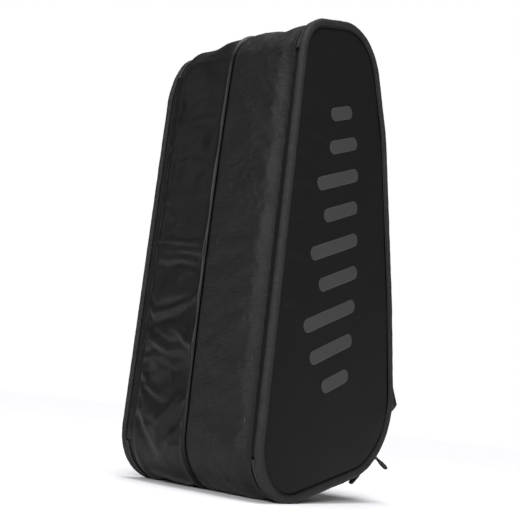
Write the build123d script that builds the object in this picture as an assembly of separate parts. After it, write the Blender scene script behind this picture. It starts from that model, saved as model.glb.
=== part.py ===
from build123d import *
import os
from math import cos, radians, sin

# A two-compartment racket tournament bag, 750 x 333 x 284 mm, standing on end.
# +Z runs from the wide end up to the narrow end, the long flat base faces -X and the
# carrying side, with the handle and the shoulder straps, faces +X. The two compartments
# meet in the centre plane, y = 0. The near compartment lies at -Y and the far one at +Y.
# Each opens by a zip round three sides of its side panel, which swings about the base edge.
# Depth is the distance from the centre plane. Inset is the distance in from the outline.

# ---------------------------------------------------------------- driving dimensions, mm

# Corners of the side profile: x, z and the radius that rounds the corner.
PROFILE = (
    (0.0, -23.6, 80.0),
    (353.8, 68.7, 128.0),
    (306.7, 325.0, 500.0),
    (243.3, 599.5, 300.0),
    (175.0, 773.0, 85.0),
    (0.0, 710.5, 70.0),
)
ZIP_CORNER = 1              # the corner where the sliders park

HALF_DEPTH = 142.0          # centre plane to the welt's outer edge
SHELL = 2.2                 # gusset and welt fabric with its foam
LINING = 0.8                # lining, foil and zip tape
DIVIDER = 4.0               # foam panel between the compartments
GUSSET_EDGE = 122.0         # depth of the gusset's outer seam
HINGE_STRIP_EDGE = 131.2    # depth where the body's share of the fabric hinge ends
HINGE_DEPTH = 131.5         # depth of the line that the door swings about
WELT_START = 135.0
PANEL_START = 135.0
PANEL_END = 140.5
PIPING_INSET = 9.5
PIPING_WIDTH = 3.0
BINDING_DEPTH = 10.0        # how far the divider's binding reaches along the gusset
SEAM_ALLOWANCE = 9.0        # how far the zip tape runs back under the gusset

ZIP_DEPTH = 131.0           # depth of the chain's centre line
COIL_GAP = 1.2
COIL_WIDTH = 2.8
ZIP_LOW_END = 56.0          # the zip leaves the base side between these two heights
ZIP_HIGH_END = 664.0
END_TAB_LENGTH = 12.0

SLIDER_LENGTH = 16.0
SLIDER_WIDTH = 8.8
SLIDER_TOP = 2.1            # top of the slider's cap above the outline
SLIDER_CLEARANCE = 0.5
CORE_WIDTH = 0.6
UNDER_PLATE_WIDTH = 6.0
UNDER_PLATE_INSET = 3.4
UNDER_PLATE_THICKNESS = 0.8
BAIL_LENGTH = 11.0
BAIL_WIDTH = 2.2
BAIL_TOP = 6.0
BAIL_BAR = 1.3
BAIL_POST = 1.8
UPPER_SLIDER_ANGLE = -41.0  # place on the corner's arc, from +X, anticlockwise positive
LOWER_SLIDER_ANGLE = -53.0

PULL_CORD_RADIUS = 0.9
PULL_LEG_SPREAD = 2.6       # half the distance between the cord's two legs
PULL_CORD_LENGTH = 18.0
GRIP_LENGTH = 30.0
GRIP_WIDTH = 7.4
GRIP_THICKNESS = 5.0
UPPER_PULL_ANGLE = -26.0    # direction in which the pull points
LOWER_PULL_ANGLE = -145.0

BOARD_THICKNESS = 2.0       # plastic stiffener along the base
BOARD_LOW = 100.0
BOARD_HIGH = 620.0
BOARD_DEPTH_START = 12.0
BOARD_DEPTH_END = 108.0

HANDLE_LOW = 250.0          # heights of the handle's two anchors
HANDLE_HIGH = 420.0
HANDLE_STANDOFF = 7.0       # anchor line above the gusset
HANDLE_BOW = 42.0
HANDLE_WEB_WIDTH = 28.0
HANDLE_GRIP_WIDTH = 34.0
HANDLE_GRIP_THICKNESS = 15.0
HANDLE_GRIP_START = 0.17    # share of the anchor line
WEBBING = 2.4

STRAP_TOP = (612.0, 38.0, 12.0)     # height, depth and stand-off of the upper anchor
STRAP_FOOT = (161.0, 120.0, 44.0)   # the same for the apex of the triangular tab
STRAP_BOW = 10.0
PAD_WIDTH = 54.0
PAD_THICKNESS = 11.0
PAD_START = 0.36            # shares of the line from the foot to the top
PAD_END = 0.93
STRAP_WEB_WIDTH = 25.0
BUCKLE_CENTER = 0.27
BUCKLE_LENGTH = 26.0
BUCKLE_WIDTH = 34.0
BUCKLE_THICKNESS = 6.4
PATCH_THICKNESS = 2.0
TAB_HALF_BASE = 45.0
TAB_THICKNESS = 3.0
TAB_ROOT = 12.0             # how far the tab's outline runs on below the surface
JOINT_GAP = 2.4             # from the tab's apex to the line that the webbing swings about
WEB_TIP = 8.0               # width to which webbing is folded at an anchor
WEB_TAPER = 18.0            # length over which it widens again
STRAP_TAPER = 70.0

MARGIN = 20.0               # how far a cutting block reaches past what it cuts


# ---------------------------------------------------------------- profile and its offsets

def rounded_profile():
    """The side profile as a face in the sketch plane, x across and z up the page."""
    corners = [(x, z) for x, z, radius in PROFILE]
    face = make_face(Polyline(*corners, close=True).edges())
    for x, z, radius in PROFILE:
        corner = face.vertices().sort_by_distance((x, z, 0))[0]
        face = fillet(corner, radius)
    return face


OUTLINE = rounded_profile()


def plate(inset, start, end):
    """A plate of the profile drawn in by inset, between two depths of the near side."""
    face = offset(OUTLINE, -inset) if inset else OUTLINE
    return extrude(Plane.XZ.offset(start) * face, end - start)


def ring(outer_inset, inner_inset, start, end):
    """A band that follows the profile."""
    return plate(outer_inset, start, end) - plate(inner_inset, start, end)


def block(low, high):
    """A box between two opposite corners."""
    size = [b - a for a, b in zip(low, high)]
    center = [(a + b) / 2 for a, b in zip(low, high)]
    return Pos(*center) * Box(*size)


def base_side(low, high):
    """A block that holds the base edge between two heights, on the near side."""
    return block((-MARGIN, -HALF_DEPTH - MARGIN, low), (MARGIN, MARGIN, high))


def face_x(height):
    """Where the carrying side's straight stretches lie at a height."""
    for (x0, z0, r0), (x1, z1, r1) in zip(PROFILE[1:4], PROFILE[2:5]):
        if z0 <= height <= z1:
            return x0 + (x1 - x0) * (height - z0) / (z1 - z0)


def corner_arc(index):
    """Centre and radius of the arc that rounds one corner of the profile."""
    x, z, radius = PROFILE[index]
    corner = Vector(x, z)
    back = (Vector(*PROFILE[index - 1][:2]) - corner).normalized()
    ahead = (Vector(*PROFILE[index + 1][:2]) - corner).normalized()
    half_angle = back.get_angle(ahead) / 2
    center = corner + (back + ahead).normalized() * (radius / sin(radians(half_angle)))
    return center.X, center.Y, radius


ARC_X, ARC_Z, ARC_RADIUS = corner_arc(ZIP_CORNER)

parts = {}


def add_pair(name, near_part):
    """The same piece on the near side and, mirrored, on the far side."""
    parts["near_" + name] = near_part
    parts["far_" + name] = mirror(near_part, about=Plane.XZ)


# ---------------------------------------------------------------- body of the bag

def make_body():
    add_pair("gusset", ring(0, SHELL, 0, GUSSET_EDGE))
    parts["divider_panel"] = extrude(Plane.XZ * offset(OUTLINE, -SHELL), DIVIDER / 2, both=True)
    near_binding = ring(SHELL, SHELL + LINING, DIVIDER / 2, BINDING_DEPTH)
    parts["divider_binding"] = Compound([near_binding, mirror(near_binding, about=Plane.XZ)])

    tape_start = GUSSET_EDGE - SEAM_ALLOWANCE
    lining = ring(SHELL, SHELL + LINING, BINDING_DEPTH, tape_start)
    parts["near_lining"] = lining
    parts["far_thermal_lining"] = mirror(lining, about=Plane.XZ)

    board_x = SHELL + LINING
    add_pair("base_board", block((board_x, -BOARD_DEPTH_END, BOARD_LOW),
                                 (board_x + BOARD_THICKNESS, -BOARD_DEPTH_START, BOARD_HIGH)))

    hinge_zone = base_side(ZIP_LOW_END, ZIP_HIGH_END)
    coil_edge = ZIP_DEPTH - COIL_GAP / 2
    add_pair("zip_tape_body", ring(SHELL, SHELL + LINING, tape_start, coil_edge) - hinge_zone)
    add_pair("zip_coil_body", ring(0, SHELL, coil_edge - COIL_WIDTH, coil_edge) - hinge_zone)

    strip = ring(0, SHELL, GUSSET_EDGE, HINGE_STRIP_EDGE)
    strip_zone = base_side(ZIP_LOW_END + END_TAB_LENGTH, ZIP_HIGH_END - END_TAB_LENGTH)
    add_pair("hinge_strip", strip & strip_zone)
    add_pair("zip_end_tabs", (strip & hinge_zone) - strip_zone)


# ---------------------------------------------------------------- doors

def make_doors():
    hinge_zone = base_side(ZIP_LOW_END, ZIP_HIGH_END)
    coil_edge = ZIP_DEPTH + COIL_GAP / 2
    tape_end = WELT_START + SEAM_ALLOWANCE / 2
    hinge_gap = HINGE_DEPTH - HINGE_STRIP_EDGE
    hinge_edge = ring(0, SHELL, HINGE_DEPTH + hinge_gap, WELT_START) & hinge_zone
    add_pair("welt", ring(0, SHELL, WELT_START, HALF_DEPTH) + hinge_edge)
    add_pair("zip_coil_door", ring(0, SHELL, coil_edge, coil_edge + COIL_WIDTH) - hinge_zone)
    add_pair("zip_tape_door", ring(SHELL, SHELL + LINING, coil_edge, tape_end) - hinge_zone)
    lining_start = PANEL_START - LINING
    add_pair("panel_lining", plate(SHELL + 2 * LINING, lining_start, PANEL_START))
    add_pair("side_panel", plate(SHELL + LINING, PANEL_START, PANEL_END))
    add_pair("piping", ring(PIPING_INSET, PIPING_INSET + PIPING_WIDTH, PANEL_END, HALF_DEPTH))


# ---------------------------------------------------------------- sliders and pulls

def arc_block(low_radius, high_radius, width, length):
    """A stretch of band over the chain, made where the corner's arc faces +X."""
    circles = Circle(high_radius) - Circle(low_radius)
    band = extrude(Plane.XZ.offset(ZIP_DEPTH - width / 2) * Pos(ARC_X, ARC_Z) * circles, width)
    reach = (ARC_X, -ZIP_DEPTH - width, ARC_Z - length / 2)
    return band & block(reach, (ARC_X + high_radius, -ZIP_DEPTH + width, ARC_Z + length / 2))


def slider(angle):
    cap_bottom = ARC_RADIUS + SLIDER_CLEARANCE
    cap_top = ARC_RADIUS + SLIDER_TOP
    plate_top = ARC_RADIUS - UNDER_PLATE_INSET
    bail_top = ARC_RADIUS + BAIL_TOP
    body = arc_block(cap_bottom, cap_top, SLIDER_WIDTH, SLIDER_LENGTH)
    body += arc_block(plate_top, cap_bottom, CORE_WIDTH, SLIDER_LENGTH / 2)
    body += arc_block(plate_top - UNDER_PLATE_THICKNESS, plate_top, UNDER_PLATE_WIDTH, SLIDER_LENGTH)
    body += arc_block(cap_top, bail_top, BAIL_WIDTH, BAIL_LENGTH)
    body -= arc_block(cap_top, bail_top - BAIL_BAR, 2 * BAIL_WIDTH, BAIL_LENGTH - 2 * BAIL_POST)
    return body.rotate(Axis((ARC_X, 0, ARC_Z), (0, -1, 0)), angle)


def pull_pivot(slider_angle):
    """The point in the bail's opening that the pull's cord turns about."""
    reach = ARC_RADIUS + (SLIDER_TOP + BAIL_TOP - BAIL_BAR) / 2
    angle = radians(slider_angle)
    return Vector(ARC_X + reach * cos(angle), -ZIP_DEPTH, ARC_Z + reach * sin(angle))


def place_pull(piece, slider_angle, pull_angle):
    """Turns a piece made along +X from the origin, and moves it to its slider's bail."""
    return Pos(pull_pivot(slider_angle)) * piece.rotate(Axis((0, 0, 0), (0, -1, 0)), pull_angle)


def pull_cord():
    """A loop of cord through the bail: one crosswise stretch and two legs."""
    across = Cylinder(PULL_CORD_RADIUS, 2 * PULL_LEG_SPREAD, rotation=(90, 0, 0))
    loop = across
    for side in (-1, 1):
        leg = Pos(PULL_CORD_LENGTH / 2, 0, 0) * Cylinder(PULL_CORD_RADIUS, PULL_CORD_LENGTH,
                                                         rotation=(0, 90, 0))
        loop += Pos(0, side * PULL_LEG_SPREAD, 0) * (leg + Sphere(PULL_CORD_RADIUS))
    return loop


def pull_grip():
    grip = Box(GRIP_LENGTH, GRIP_WIDTH, GRIP_THICKNESS)
    grip = fillet(grip.edges().filter_by(Axis.X), GRIP_THICKNESS * 0.45)
    return Pos(PULL_CORD_LENGTH + GRIP_LENGTH / 2, 0, 0) * grip


def make_sliders():
    places = (
        ("upper", UPPER_SLIDER_ANGLE, UPPER_PULL_ANGLE),
        ("lower", LOWER_SLIDER_ANGLE, LOWER_PULL_ANGLE),
    )
    for name, slider_angle, pull_angle in places:
        add_pair(name + "_slider", slider(slider_angle))
        add_pair(name + "_pull_cord", place_pull(pull_cord(), slider_angle, pull_angle))
        add_pair(name + "_pull_grip", place_pull(pull_grip(), slider_angle, pull_angle))


# ---------------------------------------------------------------- handle and straps

class Bow:
    """A shallow arc between two anchors, with its own frame: z along, x outward, y across."""

    def __init__(self, foot, top, bow):
        line = top - foot
        self.length = line.length
        self.along = line.normalized()
        outward = Vector(1, 0, 0) - self.along * self.along.X
        self.plane = Plane(origin=foot, x_dir=outward, z_dir=self.along)
        self.radius = (self.length ** 2 / 4 + bow ** 2) / (2 * bow)
        self.center = (bow - self.radius, 0, self.length / 2)

    def band(self, thickness, width, start, end):
        """A strip along the arc between two distances from the foot, in the bow's frame."""
        circles = Circle(self.radius + thickness / 2) - Circle(self.radius - thickness / 2)
        hoop = Pos(*self.center) * extrude(Plane.XZ * circles, width / 2, both=True)
        far = 2 * self.radius
        return hoop & block((-far / 4, -width, start), (far, width, end))

    def webbing(self, width, start, end, start_taper, end_taper):
        """A strip that is folded to a narrow tip at an end with a taper."""
        low = WEB_TIP / 2 if start_taper else width / 2
        high = WEB_TIP / 2 if end_taper else width / 2
        edge = [(low, start), (high, end)]
        if start_taper:
            edge.insert(1, (width / 2, start + start_taper))
        if end_taper:
            edge.insert(-1, (width / 2, end - end_taper))
        other = [(-across, along) for across, along in reversed(edge)]
        shape = make_face(Polyline(*edge, *other, close=True).edges())
        cut = extrude(Plane.YZ * shape, 2 * HALF_DEPTH, both=True)
        return self.band(WEBBING, width, start, end) & cut

    def place(self, piece):
        return self.plane.location * piece


def patch(height, center_depth, half_height, half_width):
    """A stitched reinforcement that lies on the carrying side."""
    skin = plate(-PATCH_THICKNESS, 0, GUSSET_EDGE) - plate(0, 0, GUSSET_EDGE)
    skin += mirror(skin, about=Plane.XZ)
    zone = block((face_x(height) - MARGIN, -center_depth - half_width, height - half_height),
                 (face_x(height) + MARGIN, -center_depth + half_width, height + half_height))
    return skin & zone


def handle_bow():
    foot = Vector(face_x(HANDLE_LOW) + HANDLE_STANDOFF, 0, HANDLE_LOW)
    top = Vector(face_x(HANDLE_HIGH) + HANDLE_STANDOFF, 0, HANDLE_HIGH)
    return Bow(foot, top, HANDLE_BOW)


def make_handle():
    bow = handle_bow()
    patches = [patch(height, 0, 22, 24) for height in (HANDLE_LOW, HANDLE_HIGH)]
    parts["handle_anchor_patches"] = Compound(patches)
    webbing = bow.webbing(HANDLE_WEB_WIDTH, 0, bow.length, WEB_TAPER, WEB_TAPER)
    grip_start = HANDLE_GRIP_START * bow.length
    grip = bow.band(HANDLE_GRIP_THICKNESS, HANDLE_GRIP_WIDTH, grip_start, bow.length - grip_start)
    parts["handle_webbing"] = bow.place(webbing)
    parts["handle_grip"] = bow.place(grip - webbing)


def strap_bow():
    top_height, top_depth, top_standoff = STRAP_TOP
    foot_height, foot_depth, foot_standoff = STRAP_FOOT
    foot = Vector(face_x(foot_height) + foot_standoff, -foot_depth, foot_height)
    top = Vector(face_x(top_height) + top_standoff, -top_depth, top_height)
    return Bow(foot, top, STRAP_BOW)


def make_straps():
    bow = strap_bow()
    top_height, top_depth, top_standoff = STRAP_TOP
    foot_height, foot_depth, foot_standoff = STRAP_FOOT
    top_x = face_x(top_height)
    lug = block((top_x, -top_depth - WEB_TIP / 2, top_height - WEB_TIP / 2),
                (top_x + top_standoff - JOINT_GAP, -top_depth + WEB_TIP / 2, top_height + WEB_TIP / 2))
    add_pair("strap_top_anchor", patch(top_height, top_depth, 20, 24) + (lug - plate(0, 0, HALF_DEPTH)))

    apex = face_x(foot_height) + foot_standoff - JOINT_GAP
    root_x = face_x(foot_height) - TAB_ROOT
    triangle = make_face(Polyline((root_x, foot_height - TAB_HALF_BASE),
                                  (apex, foot_height),
                                  (root_x, foot_height + TAB_HALF_BASE),
                                  close=True).edges())
    tab = extrude(Plane.XZ.offset(foot_depth - TAB_THICKNESS / 2) * triangle, TAB_THICKNESS)
    add_pair("strap_foot_tab", tab - plate(0, 0, HALF_DEPTH))

    pad_start = PAD_START * bow.length
    pad_end = PAD_END * bow.length
    pad = bow.band(PAD_THICKNESS, PAD_WIDTH, pad_start, pad_end)
    pad = fillet(pad.edges().filter_by(Axis.X), PAD_WIDTH * 0.3)
    lower = bow.webbing(STRAP_WEB_WIDTH, 0, pad_start, STRAP_TAPER, 0)
    upper = bow.webbing(STRAP_WEB_WIDTH, pad_end, bow.length, 0, WEB_TAPER)
    buckle_middle = BUCKLE_CENTER * bow.length
    buckle = bow.band(BUCKLE_THICKNESS, BUCKLE_WIDTH, buckle_middle - BUCKLE_LENGTH / 2,
                      buckle_middle + BUCKLE_LENGTH / 2)
    add_pair("strap_pad", bow.place(pad))
    add_pair("strap_webbing", bow.place(Compound([lower, upper])))
    add_pair("strap_buckle", bow.place(buckle - lower))


# ---------------------------------------------------------------- build and export

make_body()
make_doors()
make_sliders()
make_handle()
make_straps()

# The origin is at the middle of the whole bag's box, level with its lowest point.
overall = Compound(list(parts.values())).bounding_box()
SHIFT = Vector(-overall.center().X, -overall.center().Y, -overall.min.Z)

os.makedirs("parts", exist_ok=True)
for name, shape in parts.items():
    export_step(Pos(SHIFT) * shape, "parts/" + name + ".step")
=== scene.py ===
import math

import bmesh
import bpy
import numpy as np
from mathutils import Matrix, Vector


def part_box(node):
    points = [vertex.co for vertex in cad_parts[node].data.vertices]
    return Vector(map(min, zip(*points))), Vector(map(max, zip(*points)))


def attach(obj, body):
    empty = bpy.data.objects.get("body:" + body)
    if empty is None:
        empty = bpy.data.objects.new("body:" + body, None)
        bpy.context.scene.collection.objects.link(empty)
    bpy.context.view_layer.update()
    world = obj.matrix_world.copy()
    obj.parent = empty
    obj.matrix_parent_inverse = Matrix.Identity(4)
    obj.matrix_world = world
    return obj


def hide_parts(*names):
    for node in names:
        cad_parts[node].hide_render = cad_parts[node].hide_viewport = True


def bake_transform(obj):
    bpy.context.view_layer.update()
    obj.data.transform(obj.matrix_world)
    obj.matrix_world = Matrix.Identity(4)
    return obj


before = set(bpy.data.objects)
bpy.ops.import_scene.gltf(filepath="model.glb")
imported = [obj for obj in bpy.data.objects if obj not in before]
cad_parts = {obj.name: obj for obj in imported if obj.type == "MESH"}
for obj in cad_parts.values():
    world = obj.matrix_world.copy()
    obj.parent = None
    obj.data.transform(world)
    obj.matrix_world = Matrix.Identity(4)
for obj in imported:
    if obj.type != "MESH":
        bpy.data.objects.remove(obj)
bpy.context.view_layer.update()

# A two-compartment racket bag. Shapes are worked out in millimetres in the bag's own terms:
# x from the base plane, z from the lowest point, and depth, the distance from the centre
# plane to the near (-Y) or the far (+Y) side. Height is the distance out from the profile.

MM = 0.001
BASE_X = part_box("near_gusset")[0].x / MM
FLOOR_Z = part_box("near_gusset")[0].z / MM
HALF_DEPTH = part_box("far_welt")[1].y / MM
GUSSET_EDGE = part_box("far_gusset")[1].y / MM
NEAR, FAR = -1, 1
SIDE_NAMES = {NEAR: "near", FAR: "far"}

# Corners of the side profile: x, z and the radius that rounds the corner.
PROFILE = (
    (0.0, -23.6, 80.0),
    (353.8, 68.7, 128.0),
    (306.7, 325.0, 500.0),
    (243.3, 599.5, 300.0),
    (175.0, 773.0, 85.0),
    (0.0, 710.5, 70.0),
)
PROFILE_STEP = 0.5          # spacing of the points that the rounded profile is made of
SHELL = 2.2                 # gusset thickness
ZIP_DEPTH = 131.0
ZIP_LOW_END = 56.0          # the zip leaves the base side between these two heights
ZIP_HIGH_END = 664.0
PIPING_INSET = 11.0
CORNER_DROOP = 13.0         # how far the soft far top corner sinks
TOP_DIP = 7.0               # how far the top sinks between its seams
DIP_DEPTH, DIP_WIDTH = 76.0, 26.0


# ------------------------------------------------------------------ profile

def distances(points):
    """Running length along a row of points, from 0."""
    return np.concatenate([[0], np.cumsum(np.linalg.norm(np.diff(points, axis=0), axis=1))])


def direction(angle):
    """Unit vector in the profile's plane, at an angle in radians from +X."""
    return np.array([math.cos(angle), 0, math.sin(angle)])


def dense_profile():
    """Closely spaced points of the rounded profile, with outward normals and running length."""
    points, normals = [], []

    def edge_to(end, with_end):
        start = points[-1]
        length = np.linalg.norm(end - start)
        side = (end - start) / length
        count = int(length / PROFILE_STEP)
        for k in range(1, count + with_end):
            points.append(start + (end - start) * k / count)
            normals.append(np.array([side[1], -side[0]]))

    corners = [np.array(c[:2]) for c in PROFILE]
    for i, corner in enumerate(corners):
        back = corners[i - 1] - corner
        ahead = corners[(i + 1) % len(corners)] - corner
        back, ahead = back / np.linalg.norm(back), ahead / np.linalg.norm(ahead)
        half = math.acos(np.clip(back @ ahead, -1, 1)) / 2
        radius = PROFILE[i][2]
        middle = (back + ahead) / np.linalg.norm(back + ahead)
        center = corner + middle * radius / math.sin(half)
        first = corner + back * radius / math.tan(half)
        if points:
            edge_to(first, 0)
        start = math.atan2(*(first - center)[::-1])
        turn = math.pi - 2 * half
        count = max(8, int(radius * turn / PROFILE_STEP))
        for k in range(count + 1):
            angle = start + turn * k / count
            normal = np.array([math.cos(angle), math.sin(angle)])
            points.append(center + radius * normal)
            normals.append(normal)
    edge_to(points[0], 1)
    points = np.array(points)
    return points, np.array(normals), distances(points)


POINTS, NORMALS, RUN = dense_profile()
LENGTH = RUN[-1]


def at(run):
    """x, z and the outward normal at distances along the profile."""
    run = np.mod(run, LENGTH)
    return (np.interp(run, RUN, POINTS[:, 0]), np.interp(run, RUN, POINTS[:, 1]),
            np.interp(run, RUN, NORMALS[:, 0]), np.interp(run, RUN, NORMALS[:, 1]))


def run_at(x, z):
    """The distance along the profile of the point nearest to x, z."""
    return RUN[np.argmin((POINTS[:, 0] - x) ** 2 + (POINTS[:, 1] - z) ** 2)]


def inset_at(x, z):
    """How far points of the side panel lie inside the profile."""
    coarse = POINTS[::8]
    gap = (np.ravel(x)[:, None] - coarse[:, 0]) ** 2 + (np.ravel(z)[:, None] - coarse[:, 1]) ** 2
    return np.sqrt(gap.min(1)).reshape(np.shape(x))


def droop(run, y):
    """Height lost where the soft bag sinks at its far top corner and between its top edges."""
    x, z, nx, nz = at(run)
    top = step_up(nz, 0.25, 0.85)
    corner = np.exp(-((x - 25) / 75) ** 2) * step_up(z, 620, 690)
    total = -CORNER_DROOP * corner * step_up(y, 78, 142)
    for middle in (DIP_DEPTH, -DIP_DEPTH):
        total = total - TOP_DIP * top * np.exp(-((y - middle) / DIP_WIDTH) ** 2)
    return total


def step_up(value, low, high):
    """0 below low, 1 above high and a smooth rise between."""
    t = np.clip((value - low) / (high - low), 0, 1)
    return t * t * (3 - 2 * t)


def place(x, y, z):
    """Bag coordinates in millimetres to frame coordinates in metres, kept above the floor."""
    height = np.maximum(z, 0.0) + FLOOR_Z
    return np.stack(np.broadcast_arrays(x + BASE_X, y, height), -1) * MM


def lifted(run, y, height):
    """Points at a height out from the profile, at distances along it."""
    x, z, nx, nz = at(run)
    return place(x + nx * height, y, z + nz * height)


# ------------------------------------------------------------------ relief helpers

def relief(u, v, size, seed, count=28):
    """Smooth random relief of about -1 to 1 with features of about the given size."""
    rng = np.random.default_rng(seed)
    total = np.zeros(np.broadcast(u, v).shape)
    for _ in range(count):
        angle = rng.uniform(0, 2 * math.pi)
        rate = 2 * math.pi / (size * rng.uniform(0.7, 1.6))
        phase = rng.uniform(0, 2 * math.pi)
        total += np.cos(rate * (u * math.cos(angle) + v * math.sin(angle)) + phase)
    return total / math.sqrt(count)


def fold(u, v, path, width, height):
    """A ridge, or with a negative height a valley, along a path, fading at both ends."""
    path = np.array(path, float)
    best = np.full(np.shape(u), 1e9)
    share = np.zeros(np.shape(u))
    lengths = np.linalg.norm(np.diff(path, axis=0), axis=1)
    total, before = lengths.sum(), 0.0
    for a, b, length in zip(path[:-1], path[1:], lengths):
        t = np.clip(((u - a[0]) * (b - a)[0] + (v - a[1]) * (b - a)[1]) / length ** 2, 0, 1)
        gap = np.hypot(u - a[0] - t * (b - a)[0], v - a[1] - t * (b - a)[1])
        share = np.where(gap < best, (before + t * length) / total, share)
        best = np.minimum(best, gap)
        before += length
    fade = np.clip(4 * share, 0, 1) * np.clip(3 * (1 - share), 0, 1)
    return height * fade * np.exp(-(best / width) ** 2)


# ------------------------------------------------------------------ mesh helpers

def mesh_piece(name, vertices, faces, uvs=None, merge=0.0):
    """A smooth-shaded mesh whose face normals point outwards."""
    mesh = bpy.data.meshes.new(name)
    mesh.from_pydata([tuple(v) for v in np.reshape(vertices, (-1, 3))], [], faces)
    if uvs is not None:
        layer = mesh.uv_layers.new(name="cloth")
        layer.data.foreach_set("uv", np.asarray(uvs, np.float32).ravel())
    built = bmesh.new()
    built.from_mesh(mesh)
    if merge:
        bmesh.ops.remove_doubles(built, verts=built.verts, dist=merge)
    bmesh.ops.recalc_face_normals(built, faces=built.faces)
    for face in built.faces:
        face.smooth = True
    built.to_mesh(mesh)
    built.free()
    piece = bpy.data.objects.new(name, mesh)
    bpy.context.scene.collection.objects.link(piece)
    return piece


def cells(rows, columns, close_u, close_v):
    """Row, column and corner indices of every cell of a grid of points."""
    for i in range(rows if close_u else rows - 1):
        for j in range(columns if close_v else columns - 1):
            i2, j2 = (i + 1) % rows, (j + 1) % columns
            yield i, j, (i * columns + j, i * columns + j2, i2 * columns + j2, i2 * columns + j)


def grid_piece(name, grid, u, v, close_u=False, close_v=False, cap_u=False, cap_v=False,
               merge=0.0):
    """A surface through a grid of points. u and v are the cloth coordinates, in millimetres."""
    rows, columns = grid.shape[:2]
    u = np.append(u, 2 * u[-1] - u[-2])
    v = np.append(v, 2 * v[-1] - v[-2])
    faces, uvs = [], []
    for i, j, face in cells(rows, columns, close_u, close_v):
        faces.append(face)
        uvs += [(u[i], v[j]), (u[i], v[j + 1]), (u[i + 1], v[j + 1]), (u[i + 1], v[j])]
    if cap_u:
        for i in (0, rows - 1):
            faces.append(tuple(i * columns + j for j in range(columns)))
            uvs += [(u[i], v[j]) for j in range(columns)]
    if cap_v:
        for j in (0, columns - 1):
            faces.append(tuple(i * columns + j for i in range(rows)))
            uvs += [(u[i], v[j]) for i in range(rows)]
    return mesh_piece(name, grid, faces, np.array(uvs) * MM, merge)


def smooth_loop(points, count, closed=True):
    """Points evenly spaced along a smooth curve through a few given ones."""
    points = np.array(points, float)
    n = len(points)
    curve = []
    for i in range(n if closed else n - 1):
        near = [(i + k) % n if closed else min(max(i + k, 0), n - 1) for k in (-1, 0, 1, 2)]
        p = points[near]
        for t in np.linspace(0, 1, 16, endpoint=False):
            curve.append(0.5 * (2 * p[1] + (p[2] - p[0]) * t
                                + (2 * p[0] - 5 * p[1] + 4 * p[2] - p[3]) * t ** 2
                                + (3 * p[1] - p[0] - 3 * p[2] + p[3]) * t ** 3))
    curve.append(points[0] if closed else points[-1])
    curve = np.array(curve)
    run = distances(curve)
    wanted = np.linspace(0, run[-1], count, endpoint=not closed)
    return np.stack([np.interp(wanted, run, curve[:, k]) for k in range(curve.shape[1])], -1)


def sweep(name, side, section, span=None, lift=None, step=4.0):
    """Carries a closed cross-section of (depth, height) points along the profile.
    Without a span it goes all the way round. lift returns extra height for (run, depth)."""
    section = np.array(section, float)
    if span is None:
        count = int(LENGTH / step)
        run = np.arange(count) * LENGTH / count
    else:
        start, end = span
        if end < start:
            end += LENGTH
        run = np.linspace(start, end, max(3, int((end - start) / step)) + 1)
    runs, depths = np.meshgrid(run, section[:, 0], indexing="ij")
    heights = np.broadcast_to(section[:, 1], depths.shape)
    if lift is not None:
        heights = heights + lift(runs, depths)
    heights = heights + droop(runs, side * depths)
    grid = lifted(runs, side * depths, heights)
    return grid_piece(name, grid, run, distances(section), close_u=span is None, close_v=True,
                      cap_u=span is not None)


def finish_piece(piece, body, material, replaces=()):
    """Material, body and the CAD nodes that the piece stands for."""
    piece.data.materials.clear()
    piece.data.materials.append(material)
    if body is not None:
        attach(piece, body)
    if replaces:
        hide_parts(*replaces)
    return piece


class Strip:
    """A frame along a line or a shallow arc from foot to top: w runs along it, across runs
    sideways and lift outwards."""

    def __init__(self, foot, top, outward, bow=0.0, side=NEAR):
        self.foot, self.side = np.array(foot, float), side
        line = np.array(top, float) - self.foot
        self.length = np.linalg.norm(line)
        self.along = line / self.length
        outward = np.array(outward, float)
        outward = outward - self.along * (outward @ self.along)
        self.out = outward / np.linalg.norm(outward)
        self.across = np.cross(self.along, self.out)
        self.radius = (self.length ** 2 / 4 + bow ** 2) / (2 * bow) if bow else None
        self.rise = bow

    def points(self, w, across, lift):
        w, across, lift = np.broadcast_arrays(w, across, lift)
        if self.radius:
            sine = (w - self.length / 2) / self.radius
            reach = self.radius + lift
            out = self.rise - self.radius + reach * np.sqrt(1 - sine ** 2)
            along = self.length / 2 + reach * sine
        else:
            out, along = lift, w
        spot = self.foot + out[..., None] * self.out + across[..., None] * self.across \
            + along[..., None] * self.along
        return place(spot[..., 0], -self.side * spot[..., 1], spot[..., 2])


def slab(name, strip, rows, half_width, half_thickness, bulk=4.0, count=36, relief_of=None,
         lift=0.0, sew=()):
    """A closed form along a strip with a rounded cross-section. half_width and half_thickness
    hold one value for each row. relief_of(w, across) raises the outer face and the inner one.
    A share of the width in sew is a seam that the padding puffs up beside."""
    turn = np.linspace(0, 2 * math.pi, count, endpoint=False) + math.pi / count
    c, s = np.cos(turn), np.sin(turn)
    wide = np.sign(c) * np.abs(c) ** (2 / bulk)
    thick = np.sign(s) * np.abs(s) ** (2 / bulk)
    rows = np.array(rows, float)
    w = np.broadcast_to(rows[:, None], (len(rows), count))
    across = np.array(half_width)[:, None] * wide
    lift = np.broadcast_to(lift, len(rows))[:, None]
    height = np.array(half_thickness)[:, None] * thick
    for share in sew:
        height = height * (1 - 0.5 * np.exp(-((wide - share) / 0.05) ** 2))
    if relief_of is not None:
        height = height + relief_of(w, across) * np.sign(thick) * np.abs(thick) ** 0.5
    grid = strip.points(w, across, height + lift)
    around = distances(np.stack([wide, thick], -1)) * np.max(half_width)
    return grid_piece(name, grid, rows, around, close_v=True, cap_u=True)


AROUND_TUBE = np.linspace(0, 2 * math.pi, 12, endpoint=False)


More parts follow.
